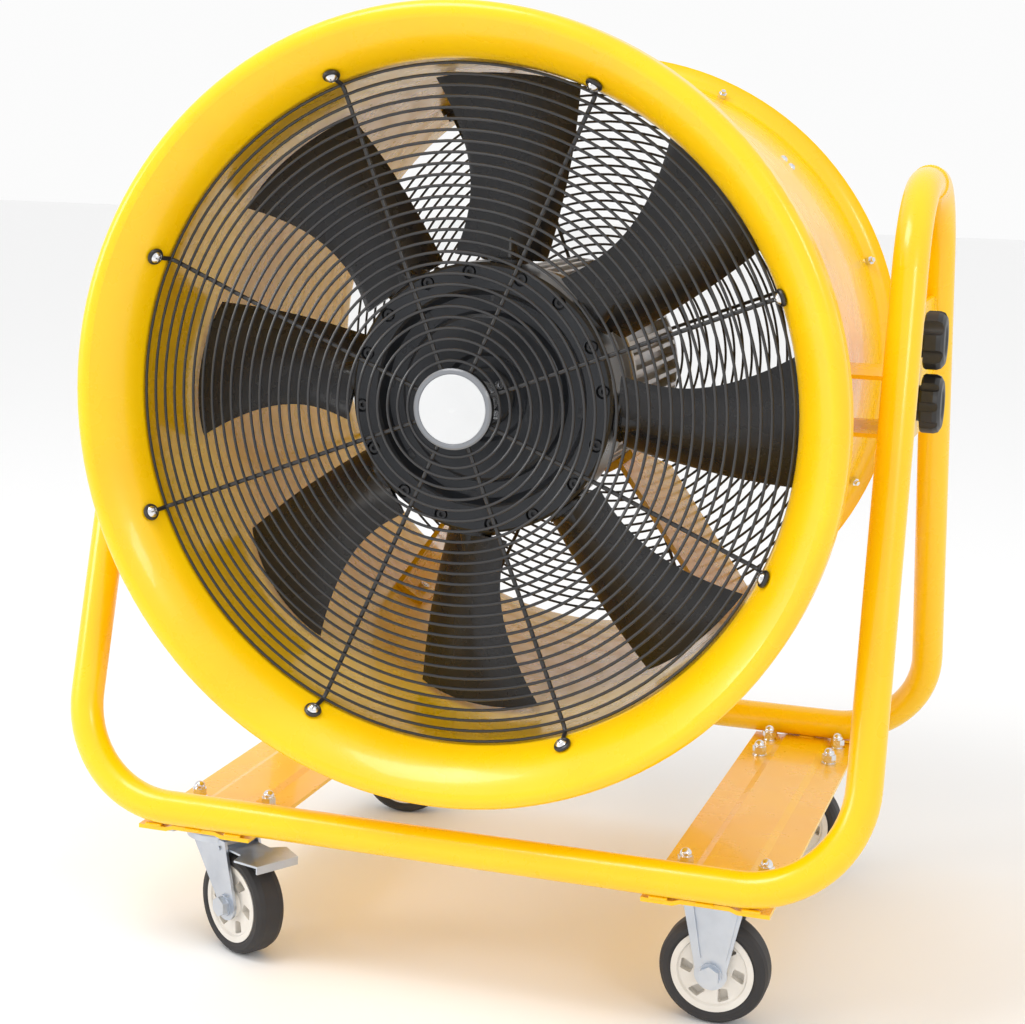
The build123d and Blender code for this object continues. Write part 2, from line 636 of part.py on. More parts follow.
# --- Motor --------------------------------------------------------------------------
def make_motor_housing():
    y0 = MOTOR_FRONT + MOTOR_COVER
    y1 = y0 + MOTOR_HOUSING
    fin_step = 2 * pi / MOTOR_FINS
    points = []
    for i in range(MOTOR_FINS):
        middle = fin_step * i
        for radius, side in ((MOTOR_BODY_R, -0.5), (MOTOR_FIN_R, -0.42), (MOTOR_FIN_R, 0.42), (MOTOR_BODY_R, 0.5)):
            angle = middle + side * MOTOR_FIN_WIDTH / radius
            points.append((radius * cos(angle), radius * sin(angle)))
    outline = make_face(Polyline(*points, close=True))
    plane = Plane(origin=(0, y0, 0), x_dir=(1, 0, 0), z_dir=(0, 1, 0))
    housing = extrude(plane * outline, y1 - y0)
    housing -= rod((0, y0 - 1, 0), (0, y1 + 1, 0), MOTOR_BODY_R - MOTOR_WALL)
    housing -= radial_rod(MOTOR_GLAND_ANGLE, MOTOR_GLAND_Y, 60, MOTOR_FIN_R + 5, 10.0)
    return housing


def make_motor_cover(face_y, inward):
    """Domed end cover with a bearing seat; inward is +1 for the front cover."""
    joint_y = face_y + inward * MOTOR_COVER
    outline = [
        (SHAFT_R + 1.0, face_y),
        (38.0, face_y),
        (44.0, face_y + inward * 5),
        (88.0, face_y + inward * 9),
        (MOTOR_FIN_R - 4, face_y + inward * 12),
        (MOTOR_FIN_R, face_y + inward * 15),
        (MOTOR_FIN_R, joint_y),
        (30.0, joint_y),
        (30.0, face_y + inward * 8),
        (SHAFT_R + 1.0, face_y + inward * 8),
    ]
    return turned_profile(outline)


def make_stator():
    y0 = MOTOR_FRONT + 46
    y1 = MOTOR_REAR - 46
    stator = ring_y(MOTOR_BODY_R - MOTOR_WALL, ROTOR_R + AIR_GAP, y0, y1)
    windings = ring_y(86.0, 68.0, y0 - 14, y1 + 14)
    return stator + windings - radial_rod(MOTOR_GLAND_ANGLE, MOTOR_GLAND_Y, 80, 120, 9.0)


def make_motor_leg(side):
    """Flat radial plate from the motor to the barrel, with a foot bolted to the barrel."""
    half = LEG_THICK / 2
    inner_cut = MOTOR_REAR + 4
    outline = make_face(Polyline((MOTOR_BODY_R + 20, LEG_FRONT), (DUCT_R + 10, LEG_FRONT),
                                 (DUCT_R + 10, LEG_REAR), (MOTOR_FIN_R + 36, LEG_REAR),
                                 (MOTOR_FIN_R + 4, inner_cut), (MOTOR_BODY_R + 20, inner_cut), close=True))
    web = extrude(outline, half, both=True)
    inner_foot = ring_y(MOTOR_FIN_R + 8, MOTOR_FIN_R, LEG_FRONT, inner_cut - 20)
    inner_foot &= block(90, 140, LEG_FRONT, inner_cut, -18, 18)
    foot = ring_y(DUCT_R, DUCT_R - LEG_THICK, LEG_FRONT, LEG_REAR)
    foot &= block(DUCT_R - 30, DUCT_R + 5, LEG_FRONT, LEG_REAR, -LEG_FOOT, half)
    leg = (web & ring_y(DUCT_R, MOTOR_FIN_R, LEG_FRONT - 1, LEG_REAR + 1)) + inner_foot + foot
    angle = -LEG_ANGLE
    leg = turned(leg, angle)
    leg -= [radial_rod(a, y, DUCT_R - 12, DUCT_R + 5, LEG_BOLT_R) for a, y in leg_bolt_places()]
    if side < 0:
        leg = mirror(leg, Plane.YZ)
    return leg


# --- Motor lead and switch box ------------------------------------------------------
def polar(radius, angle, y):
    return Vector(radius * cos(radians(angle)), y, radius * sin(radians(angle)))


def make_lead_glands():
    """Cable glands at the barrel wall and on the motor."""
    wall = radial_rod(LEAD_ANGLE, LEAD_Y, DUCT_R - 5.5, SHELL_R + 4, GLAND_SHANK_R - 0.05)
    wall += radial_rod(LEAD_ANGLE, LEAD_Y, DUCT_R - 6.5, DUCT_R - 0.6, GLAND_NUT_R)
    wall += radial_rod(LEAD_ANGLE, LEAD_Y, LEAD_WALL_END, DUCT_R - 6, 8.0)
    wall -= radial_rod(LEAD_ANGLE, LEAD_Y, LEAD_WALL_END - 1, SHELL_R + 6, LEAD_R)
    motor = radial_rod(MOTOR_GLAND_ANGLE, MOTOR_GLAND_Y, MOTOR_BODY_R - MOTOR_WALL + 2, MOTOR_FIN_R + 2,
                       MOTOR_GLAND_R)
    motor += radial_rod(MOTOR_GLAND_ANGLE, MOTOR_GLAND_Y, MOTOR_FIN_R + 1, MOTOR_FIN_R + 7, 12.0)
    motor += radial_rod(MOTOR_GLAND_ANGLE, MOTOR_GLAND_Y, MOTOR_FIN_R + 6, LEAD_MOTOR_END, 8.0)
    motor -= radial_rod(MOTOR_GLAND_ANGLE, MOTOR_GLAND_Y, MOTOR_BODY_R - 10, LEAD_MOTOR_END + 1, LEAD_R)
    return [wall, motor]


def lead_points():
    """Route of the motor lead from inside the switch box to inside the motor's gland."""
    return [
        polar(SHELL_R + 3, LEAD_ANGLE, LEAD_Y),
        polar(DUCT_R - 48, LEAD_ANGLE, LEAD_Y),
        Vector(-95.0, LEAD_Y - 20, 178.0),
        polar(LEAD_MOTOR_END + 30, MOTOR_GLAND_ANGLE, MOTOR_GLAND_Y),
        polar(MOTOR_BODY_R - 2, MOTOR_GLAND_ANGLE, MOTOR_GLAND_Y),
    ]


def make_motor_lead():
    points = lead_points()
    radii = []
    for before, corner, after in zip(points, points[1:], points[2:]):
        shorter = min((before - corner).length, (after - corner).length)
        turn = 180 - (before - corner).get_angle(after - corner)
        radii.append(BEND_SHARE * shorter / tan(radians(turn) / 2))
    return pipe(points, radii, LEAD_R)


def box_in_place(shape):
    """From the box's own frame (x outward from the barrel, y along it) to the drum."""
    return turned(Pos(0, LEAD_Y, 0) * shape, LEAD_ANGLE)


def make_switch_box():
    half_l = BOX_LENGTH / 2
    half_w = BOX_WIDTH / 2
    outer = block(DUCT_R - 10, BOX_TOP_R, -half_l, half_l, -half_w, half_w)
    outer = fillet(outer.edges().filter_by(Axis.X), 8)
    outer = fillet(outer.faces().sort_by(Axis.X)[-1].edges(), 3)
    inner = block(DUCT_R - 12, BOX_TOP_R - BOX_WALL, -half_l + BOX_WALL, half_l - BOX_WALL,
                  -half_w + BOX_WALL, half_w - BOX_WALL)
    box = outer - inner
    well = block(BOX_TOP_R - 12, BOX_TOP_R + 3, -ROCKER_LENGTH / 2 - 1, ROCKER_LENGTH / 2 + 1,
                 -ROCKER_WIDTH / 2 - 1, ROCKER_WIDTH / 2 + 1)
    bezel = block(BOX_TOP_R - 12, BOX_TOP_R + 1.5, -ROCKER_LENGTH / 2 - 3.5, ROCKER_LENGTH / 2 + 3.5,
                  -ROCKER_WIDTH / 2 - 3.5, ROCKER_WIDTH / 2 + 3.5)
    box = box + bezel - well
    gland_r = BOX_TOP_R - INLET_GLAND_DROP
    box += rod((gland_r, half_l - 1, 0), (gland_r, half_l + 8, 0), 10)
    box += rod((gland_r, half_l + 7, 0), (gland_r, half_l + 18, 0), 8)
    box -= rod((gland_r, half_l - 4, 0), (gland_r, half_l + 20, 0), 4.5)
    pin_r = BOX_TOP_R - ROCKER_PIN_DEPTH
    for pin_side in (-1, 1):
        start = (pin_r, 0, pin_side * (ROCKER_WIDTH / 2 + 3))
        end = (pin_r, 0, pin_side * (ROCKER_WIDTH / 2 - 1.5))
        box += rod(start, end, ROCKER_PIN_R)
    return box_in_place(box) - rod((0, BARREL_FRONT, 0), (0, BARREL_REAR, 0), SHELL_R)


def make_rocker():
    half_l = ROCKER_LENGTH / 2
    half_w = ROCKER_WIDTH / 2
    outline = make_face(Polyline((BOX_TOP_R - 8, -4), (BOX_TOP_R + 0.5, -half_l + 1), (BOX_TOP_R + 4.2, -half_l + 1.5),
                                 (BOX_TOP_R + 1.6, 0), (BOX_TOP_R + 4.2, half_l - 1.5),
                                 (BOX_TOP_R + 0.5, half_l - 1), (BOX_TOP_R - 8, 4), close=True))
    rocker = extrude(outline, half_w, both=True)
    pin_r = BOX_TOP_R - ROCKER_PIN_DEPTH
    rocker -= rod((pin_r, 0, -half_w - 1), (pin_r, 0, half_w + 1), ROCKER_PIN_R + RUNNING)
    return box_in_place(rocker)


# --- Tilt brackets and knobs --------------------------------------------------------
def make_tilt_bracket(side):
    """U bracket on the barrel with the pivot stud and the lock stud."""
    half_l = BRACKET_LENGTH / 2
    half_h = BRACKET_HALF_HEIGHT
    web = block(WEB_IN, WEB_OUT, -half_l, half_l, -half_h, half_h)
    tab_top = LOCK_STUD_R + 18
    tab_face = Plane(origin=(WEB_IN, 0, 0), x_dir=(0, 1, 0), z_dir=(1, 0, 0))
    tab = extrude(tab_face * make_face(Polyline((-34, half_h - 4), (34, half_h - 4), (18, tab_top - 14),
                                               (12, tab_top - 4), (0, tab_top), (-12, tab_top - 4),
                                               (-18, tab_top - 14), close=True)), BRACKET_THICK)
    bracket = web + tab
    for level in (-half_h, half_h - BRACKET_THICK):
        bracket += block(DUCT_R - 10, WEB_IN + 1, -half_l, half_l, level, level + BRACKET_THICK)
    bracket -= rod((0, -half_l - 1, 0), (0, half_l + 1, 0), SHELL_R)
    for level in (0, LOCK_STUD_R):
        bracket += rod((WEB_IN - 10, 0, level), (WEB_IN + 1, 0, level), 9.5)
        bracket += rod((WEB_IN, 0, level), (KNOB_OUT - 8, 0, level), STUD_R)
    return bracket if side > 0 else mirror(bracket, Plane.YZ)


def make_knob(side, level, lobes, depth):
    """Lobed clamp knob on a stud, with a plain collar against the side plate."""
    step = 360 / lobes
    plane = Plane(origin=(KNOB_IN + 5, 0, level), x_dir=(0, 1, 0), z_dir=(1, 0, 0))
    body = Circle(KNOB_R)
    valley = KNOB_R * sin(radians(step / 2)) * 0.62
    body -= [Pos(*polar_xy(KNOB_R + valley - depth, step * (i + 0.5))) * Circle(valley) for i in range(lobes)]
    knob = extrude(plane * body, KNOB_THICK - 5)
    knob &= knob_envelope(level)
    knob += rod((KNOB_IN, 0, level), (KNOB_IN + 6, 0, level), KNOB_R * 0.6)
    knob -= rod((KNOB_IN - 1, 0, level), (KNOB_OUT - 7, 0, level), STUD_R + RUNNING)
    return knob if side > 0 else mirror(knob, Plane.YZ)


def polar_xy(radius, angle):
    return radius * cos(radians(angle)), radius * sin(radians(angle))


def knob_envelope(level):
    """Turned outer shape of a knob: chamfered back, rounded front with a shallow dish."""
    shape = revolve(make_face(Polyline(
        (KNOB_IN + 3, 0), (KNOB_IN + 3, KNOB_R - 3), (KNOB_IN + 7, KNOB_R + 0.1),
        (KNOB_OUT - 7, KNOB_R + 0.1), (KNOB_OUT - 2.6, KNOB_R - 1.6), (KNOB_OUT, KNOB_R - 6),
        (KNOB_OUT, KNOB_R * 0.55), (KNOB_OUT - 1.6, KNOB_R * 0.45), (KNOB_OUT - 1.6, 0), close=True)), Axis.X)
    return Pos(0, 0, level) * shape


# --- Frame --------------------------------------------------------------------------
def half_loop_points(base_y, top_y):
    return [
        (-SIDE_X, SPLIT_Y, TOP_TUBE_Z),
        (-SIDE_X, top_y, TOP_TUBE_Z),
        (-SIDE_X, base_y, BASE_TUBE_Z),
        (SIDE_X, base_y, BASE_TUBE_Z),
        (SIDE_X, top_y, TOP_TUBE_Z),
        (SIDE_X, SPLIT_Y, TOP_TUBE_Z),
    ]


def make_half_loop(base_y, top_y):
    points = half_loop_points(base_y, top_y)
    return pipe(points, LOOP_BENDS, TUBE_R) - pipe(points, LOOP_BENDS, TUBE_R - TUBE_WALL)


def leg_y(base_y, lean, z):
    return base_y + lean * LEAN_RISE * (z - BASE_TUBE_Z)


def make_side_plate(side):
    """Plate between the front and the rear leg, with the pivot hole and the arc slot."""
    low = AXIS_Z - SIDE_PLATE_BELOW
    high = AXIS_Z + SIDE_PLATE_ABOVE
    corners = [
        (leg_y(FRONT_TUBE_Y, 1, low), low),
        (leg_y(REAR_TUBE_Y, -1, low), low),
        (leg_y(REAR_TUBE_Y, -1, high), high),
        (leg_y(FRONT_TUBE_Y, 1, high), high),
    ]
    plane = Plane(origin=(SIDE_PLATE_IN, 0, 0), x_dir=(0, 1, 0), z_dir=(1, 0, 0))
    plate = extrude(plane * make_face(Polyline(*corners, close=True)), SIDE_PLATE_THICK)
    for base_y, top_y in ((FRONT_TUBE_Y, FRONT_TOP_Y), (REAR_TUBE_Y, REAR_TOP_Y)):
        plate -= rod((SIDE_X, base_y, BASE_TUBE_Z), (SIDE_X, top_y, TOP_TUBE_Z), TUBE_R)
    plate -= rod((SIDE_PLATE_IN - 1, 0, AXIS_Z), (SIDE_PLATE_OUT + 1, 0, AXIS_Z), STUD_R + PIVOT_RUNNING)
    plate -= arc_slot()
    return plate if side > 0 else mirror(plate, Plane.YZ)


def arc_slot():
    """Slot for the lock stud, about the tilt axis; nose up carries the stud rearwards."""
    half = STUD_R + SLOT_CLEARANCE
    x0 = SIDE_PLATE_IN - 1
    x1 = SIDE_PLATE_OUT + 1
    band = rod((x0, 0, AXIS_Z), (x1, 0, AXIS_Z), LOCK_STUD_R + half)
    band -= rod((x0 - 1, 0, AXIS_Z), (x1 + 1, 0, AXIS_Z), LOCK_STUD_R - half)
    reach = 2 * LOCK_STUD_R
    ends = [(reach * sin(radians(t)), AXIS_Z + reach * cos(radians(t))) for t in (-TILT_DOWN, TILT_UP)]
    middle = radians((TILT_UP - TILT_DOWN) / 2)
    far = (2 * reach * sin(middle), AXIS_Z + 2 * reach * cos(middle))
    plane = Plane(origin=(x0, 0, 0), x_dir=(0, 1, 0), z_dir=(1, 0, 0))
    wedge = extrude(plane * make_face(Polyline((0, AXIS_Z), ends[0], far, ends[1], close=True)), x1 - x0)
    slot = band & wedge
    for tilt in (-TILT_DOWN, TILT_UP):
        y = LOCK_STUD_R * sin(radians(tilt))
        z = AXIS_Z + LOCK_STUD_R * cos(radians(tilt))
        slot += rod((x0, y, z), (x1, y, z), half)
    return slot


def caster_centres(side):
    return [(side * PLATE_X, y) for y in (CASTER_FRONT_Y, CASTER_REAR_Y)]


def bolt_places(side):
    return [(x + dx * CASTER_BOLT_X / 2, y + dy * CASTER_BOLT_Y / 2)
            for x, y in caster_centres(side) for dx in (-1, 1) for dy in (-1, 1)]


def all_bolt_places():
    return bolt_places(-1) + bolt_places(1)


def make_cross_plate(side):
    """Plate under the two base tubes, with a raised centre strip and tack welds."""
    y0 = FRONT_TUBE_Y - PLATE_OVERHANG
    y1 = REAR_TUBE_Y + PLATE_OVERHANG
    half = PLATE_WIDTH / 2
    top = BASE_PLATE_TOP
    upper = [(-half, top), (-CREASE_OUTER, top), (-CREASE_INNER, top + PLATE_RAISE),
             (CREASE_INNER, top + PLATE_RAISE), (CREASE_OUTER, top), (half, top)]
    lower = [(x, z - PLATE_THICK) for x, z in reversed(upper)]
    plane = Plane(origin=(side * PLATE_X, y1, 0), x_dir=(1, 0, 0), z_dir=(0, -1, 0))
    plate = extrude(plane * make_face(Polyline(*upper, *lower, close=True)), y1 - y0)
    for tube_y in (FRONT_TUBE_Y, REAR_TUBE_Y):
        for offset in (-half * 0.72, 0, half * 0.72):
            x = side * PLATE_X + offset
            plate += block(x - 6, x + 6, tube_y - 2.5, tube_y + 2.5, top - 1, BASE_TUBE_Z - TUBE_R)
    plate -= [rod((x, y, CASTER_UNDER), (x, y, top + 5), CASTER_BOLT_R) for x, y in bolt_places(side)]
    return plate


def make_caster_bolts():
    pieces = []
    for x, y in all_bolt_places():
        bolt = rod((x, y, CASTER_UNDER), (x, y, BASE_PLATE_TOP + 12), CASTER_BOLT_R)
        bolt += hexagon((x, y, CASTER_UNDER - 5.3), (x, y, CASTER_UNDER), 13)
        pieces.append(bolt)
    return pieces


def make_caster_nuts():
    """Stacks of a flat washer, a spring washer and an acorn nut."""
    pieces = []
    top = BASE_PLATE_TOP
    for x, y in all_bolt_places():
        stack = rod((x, y, top), (x, y, top + 1.6), 8.0)
        stack += rod((x, y, top + 1.6), (x, y, top + 3.8), 6.4)
        stack += hexagon((x, y, top + 3.8), (x, y, top + 10.3), 13)
        stack += rod((x, y, top + 10.3), (x, y, top + 11.8), 5.6)
        stack += Solid.make_sphere(5.6, Plane(origin=(x, y, top + 11.8)), 0, 90)
        stack -= rod((x, y, top - 1), (x, y, top + 12), CASTER_BOLT_R)
        pieces.append(stack)
    return pieces


# --- Casters ------------------------------------------------------------------------
def caster_plate():
    """Mounting plate of a caster in its own frame, centred on the kingpin."""
    plate = block(-CASTER_PLATE_X / 2, CASTER_PLATE_X / 2, -CASTER_PLATE_Y / 2, CASTER_PLATE_Y / 2,
                  CASTER_UNDER, CASTER_TOP)
    plate = fillet(plate.edges().filter_by(Axis.Z), 8)
    plate -= [rod((dx * CASTER_BOLT_X / 2, dy * CASTER_BOLT_Y / 2, CASTER_UNDER - 1),
                  (dx * CASTER_BOLT_X / 2, dy * CASTER_BOLT_Y / 2, CASTER_TOP + 1), CASTER_BOLT_R)
              for dx in (-1, 1) for dy in (-1, 1)]
    return plate


def cheek(outline, side):
    """One fork cheek; the outline is in the plane of the wheel, the axle along Y."""
    y = CHEEK_IN if side > 0 else -CHEEK_OUT
    plane = Plane(origin=(0, y, 0), x_dir=(1, 0, 0), z_dir=(0, -1, 0))
    return Pos(0, FORK_THICK, 0) * extrude(plane * outline, FORK_THICK)


def fork_outline(axle_x, top_back, top_front, top_z):
    eye = Pos(axle_x, WHEEL_R) * Circle(15)
    body = make_face(Polyline((top_back, top_z), (top_front, top_z), (axle_x + 14.5, WHEEL_R + 4),
                              (axle_x + 8, WHEEL_R - 5), (axle_x - 8, WHEEL_R - 5),
                              (axle_x - 14.5, WHEEL_R + 4), close=True))
    return eye + body


def make_rigid_fork():
    """Fixed fork in its own frame: plate, two ribbed cheeks and the crown folds."""
    outline = fork_outline(0, -29, 29, CASTER_UNDER)
    fork = caster_plate()
    for side in (-1, 1):
        fork += cheek(outline, side)
        y0, y1 = sorted((side * (CHEEK_OUT - 0.5), side * (CHEEK_OUT + 2.0)))
        for rib in (-1, 1):
            top = rib * 22.0
            foot = rib * 11.5
            strip = make_face(Polyline((top - 3, CASTER_UNDER), (top + 3, CASTER_UNDER), (foot + 2.2, WHEEL_R + 14),
                                       (foot - 2.2, WHEEL_R + 14), close=True))
            plane = Plane(origin=(0, y1, 0), x_dir=(1, 0, 0), z_dir=(0, -1, 0))
            fork += extrude(plane * strip, y1 - y0)
    return fork - rod((0, -CHEEK_OUT - 3, WHEEL_R), (0, CHEEK_OUT + 3, WHEEL_R), AXLE_R)


def make_axle(axle_x):
    """Axle bolt with a hexagon head, a washer at each end and a lock nut."""
    end = CHEEK_OUT + 2.5
    axle = rod((axle_x, -end, WHEEL_R), (axle_x, end + 9, WHEEL_R), AXLE_R)
    for side in (-1, 1):
        axle += rod((axle_x, side * CHEEK_OUT, WHEEL_R), (axle_x, side * end, WHEEL_R), 10.5)
    axle += hexagon((axle_x, -end - 6, WHEEL_R), (axle_x, -end, WHEEL_R), 17)
    axle += hexagon((axle_x, end, WHEEL_R), (axle_x, end + 7, WHEEL_R), 17)
    return axle


def make_swivel_plate():
    plate = caster_plate()
    race = Pos(0, 0, CASTER_UNDER - 2) * Cylinder(RACE_R - 3, 4)
    pin = Pos(0, 0, CASTER_UNDER - 8) * Cylinder(KINGPIN_R, 16)
    return plate + race + pin


def make_swivel_fork():
    """Swivel fork in its own frame: kingpin at the origin, wheel trailing along +X."""
    crown = Pos(0, 0, SWIVEL_TOP - CROWN_THICK / 2) * Cylinder(RACE_R, CROWN_THICK)
    crown = fillet(crown.edges().sort_by(Axis.Z)[-1], 3)
    bridge = block(-20, 36, -CHEEK_OUT, CHEEK_OUT, CROWN_LOW, CROWN_LOW + 4)
    fork = crown + bridge
    outline = fork_outline(TRAIL, -24, 36, CROWN_LOW + 4)
    for side in (-1, 1):
        fork += cheek(outline, side)
    fork -= rod((0, 0, SWIVEL_TOP - 40), (0, 0, SWIVEL_TOP + 5), KINGPIN_R + RUNNING)
    fork -= rod((PEDAL_PIN, -CHEEK_OUT - 1, PEDAL_PIN_Z), (PEDAL_PIN, CHEEK_OUT + 1, PEDAL_PIN_Z),
                PEDAL_PIN_R + RUNNING)
    return fork - rod((TRAIL, -CHEEK_OUT - 3, WHEEL_R), (TRAIL, CHEEK_OUT + 3, WHEEL_R), AXLE_R)


def make_brake_pedal():
    """Brake pedal on a pin between the cheeks, flared outside them and turned down at the tip."""
    neck = CHEEK_IN - PEDAL_SIDE_GAP
    flare_x = TRAIL + 28
    outline = make_face(Polyline((PEDAL_PIN - 3, -neck), (TRAIL + 20, -neck), (flare_x, -31), (PEDAL_TIP, -24),
                                 (PEDAL_TIP, 24), (flare_x, 31), (TRAIL + 20, neck), (PEDAL_PIN - 3, neck),
                                 close=True))
    pedal = extrude(Pos(0, 0, PEDAL_Z) * outline, PEDAL_THICK)
    pedal += block(PEDAL_TIP - PEDAL_THICK, PEDAL_TIP, -24, 24, PEDAL_Z - 6, PEDAL_Z + PEDAL_THICK)
    pin_end = CHEEK_OUT + 1.5
    return pedal + rod((PEDAL_PIN, -pin_end, PEDAL_PIN_Z), (PEDAL_PIN, pin_end, PEDAL_PIN_Z), PEDAL_PIN_R)


def make_brake_shoe():
    shoe = block(TRAIL + 14, TRAIL + 34, -11, 11, PEDAL_Z - 16, PEDAL_Z)
    wheel = rod((TRAIL, -20, WHEEL_R), (TRAIL, 20, WHEEL_R), WHEEL_R + SHOE_GAP)
    return shoe - wheel


def make_tyre(axle_x):
    half = TYRE_WIDTH / 2
    outline = [
        (RIM_R, -half + 2),
        (RIM_R + 3, -half),
        (WHEEL_R - 5, -half),
        (WHEEL_R - 1.6, -half + 3),
        (WHEEL_R, -half + 8),
        (WHEEL_R, half - 8),
        (WHEEL_R - 1.6, half - 3),
        (WHEEL_R - 5, half),
        (RIM_R + 3, half),
        (RIM_R, half - 2),
    ]
    return Pos(axle_x, 0, WHEEL_R) * turned_profile(outline)


def make_rim(axle_x):
    """Moulded rim: outer ring, hub and a web with six slanted pockets on each face."""
    half = TYRE_WIDTH / 2
    outline = [
        (AXLE_R + RUNNING, -half - 0.8),
        (11.5, -half - 0.8),
        (12.5, -half),
        (14.0, -half + 3),
        (RIM_R - 7, -half + 3),
        (RIM_R - 5.5, -half + 1),
        (RIM_R, -half + 1),
        (RIM_R, half - 1),
        (RIM_R - 5.5, half - 1),
        (RIM_R - 7, half - 3),
        (14.0, half - 3),
        (12.5, half),
        (11.5, half + 0.8),
        (AXLE_R + RUNNING, half + 0.8),
    ]
    rim = turned_profile(outline)
    for face in (-1, 1):
        pocket_y0, pocket_y1 = sorted((face * 4.0, face * (half + 1)))
        pocket = make_face(Polyline((RIM_R - 21, -3.0), (RIM_R - 9.5, -9.5), (RIM_R - 8.5, 1.5), (RIM_R - 18, 5.0),
                                    close=True))
        pocket = fillet(pocket.vertices(), 1.6)
        plane = Plane(origin=(0, pocket_y1, 0), x_dir=(1, 0, 0), z_dir=(0, -1, 0))
        cut = extrude(plane * pocket, pocket_y1 - pocket_y0)
        rim -= turned_copies(cut, RIM_POCKETS, 0)
    return Pos(axle_x, 0, WHEEL_R) * rim


# --- Build --------------------------------------------------------------------------
save("barrel", in_drum(make_barrel()))
save("inlet_bell", in_drum(make_inlet_bell()))
save("outlet_flare", in_drum(make_outlet_flare()))
save("barrel_bolts", in_drum(Compound(make_barrel_bolts())))
save("front_guard", in_drum(make_guard(FRONT_RING_Y, -1, bell_point, FRONT_SCREW_TURN, 0, FRONT_KNEE)))
save("rear_guard", in_drum(make_guard(REAR_RING_Y, 1, flare_point, REAR_SCREW_TURN, 1, REAR_KNEE)))
save("guard_badge", in_drum(make_badge(FRONT_RING_Y, -1)))
grommets = make_grommets(bell_point, FRONT_SCREW_TURN) + make_grommets(flare_point, REAR_SCREW_TURN)
save("guard_grommets", in_drum(Compound(grommets)))
save("guard_screws_front", in_drum(Compound(make_guard_screws(bell_point, FRONT_SCREW_TURN, FRONT_NUT_GAP))))
save("guard_screws_rear", in_drum(Compound(make_guard_screws(flare_point, REAR_SCREW_TURN, REAR_NUT_GAP))))

save("fan_blades", in_drum(Compound(make_blades())))
save("hub_front", in_drum(make_hub_front()))
save("hub_rear", in_drum(make_hub_rear()))
save("hub_screws", in_drum(Compound(make_hub_screws())))
save("fan_shaft", in_drum(make_fan_shaft()))

save("motor_housing", in_drum(make_motor_housing()))
save("motor_front_cover", in_drum(make_motor_cover(MOTOR_FRONT, 1)))
save("motor_rear_cover", in_drum(make_motor_cover(MOTOR_REAR, -1)))
save("stator", in_drum(make_stator()))
save("motor_lead", in_drum(make_motor_lead()))
save("lead_glands", in_drum(Compound(make_lead_glands())))
save("switch_box", in_drum(make_switch_box()))
save("switch_rocker", in_drum(make_rocker()))

for side, side_name in ((-1, "left"), (1, "right")):
    save(f"motor_leg_{side_name}", in_drum(make_motor_leg(side)))
    save(f"tilt_bracket_{side_name}", in_drum(make_tilt_bracket(side)))
    save(f"pivot_knob_{side_name}", in_drum(make_knob(side, 0, 9, 2.6)))
    save(f"lock_knob_{side_name}", in_drum(make_knob(side, LOCK_STUD_R, 6, 5.0)))
    save(f"side_plate_{side_name}", make_side_plate(side))
    save(f"cross_plate_{side_name}", make_cross_plate(side))

save("frame_loop_front", make_half_loop(FRONT_TUBE_Y, FRONT_TOP_Y))
save("frame_loop_rear", make_half_loop(REAR_TUBE_Y, REAR_TOP_Y))
save("caster_bolts", Compound(make_caster_bolts()))
save("caster_nuts", Compound(make_caster_nuts()))

rigid_axles = []
for (x, y), end_name in zip(caster_centres(1), ("front", "rear")):
    place = Pos(x, y, 0)
    save(f"rigid_fork_{end_name}", place * make_rigid_fork())
    save(f"rigid_rim_{end_name}", place * make_rim(0))
    save(f"rigid_tyre_{end_name}", place * make_tyre(0))
    rigid_axles.append(place * make_axle(0))
save("rigid_axles", Compound(rigid_axles))

for (x, y), end_name, rest in zip(caster_centres(-1), ("front", "rear"), SWIVEL_REST):
    place = Pos(x, y, 0) * Rot(0, 0, rest)
    save(f"swivel_plate_{end_name}", Pos(x, y, 0) * make_swivel_plate())
    save(f"swivel_fork_{end_name}", place * make_swivel_fork())
    save(f"swivel_axle_{end_name}", place * make_axle(TRAIL))
    save(f"swivel_rim_{end_name}", place * make_rim(TRAIL))
    save(f"swivel_tyre_{end_name}", place * make_tyre(TRAIL))
    save(f"brake_pedal_{end_name}", place * make_brake_pedal())
    save(f"brake_shoe_{end_name}", place * make_brake_shoe())
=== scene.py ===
from math import cos, pi, radians, sin, tan

import bmesh
import bpy
from mathutils import Matrix, Vector


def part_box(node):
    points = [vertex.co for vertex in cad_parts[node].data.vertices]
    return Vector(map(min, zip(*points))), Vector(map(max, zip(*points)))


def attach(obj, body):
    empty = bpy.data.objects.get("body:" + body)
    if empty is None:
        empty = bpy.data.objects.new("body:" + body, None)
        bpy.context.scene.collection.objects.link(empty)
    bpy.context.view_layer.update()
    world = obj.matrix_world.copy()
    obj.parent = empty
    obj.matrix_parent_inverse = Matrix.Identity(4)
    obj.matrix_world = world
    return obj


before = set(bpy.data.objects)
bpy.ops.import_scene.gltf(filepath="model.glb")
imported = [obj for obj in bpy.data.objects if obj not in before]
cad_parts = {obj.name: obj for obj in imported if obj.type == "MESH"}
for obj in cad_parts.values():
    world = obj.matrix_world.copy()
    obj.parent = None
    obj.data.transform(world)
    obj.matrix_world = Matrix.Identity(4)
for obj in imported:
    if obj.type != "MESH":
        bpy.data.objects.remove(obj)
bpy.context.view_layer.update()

# --- Drum, tube frame and brackets: gloss yellow enamel ---------------------------------
# Spun and rolled steel sheet, bent tube and plate, all sprayed with one thick gloss coat.
# The coat shows a faint orange peel, slow shade changes and a thin film of dust.


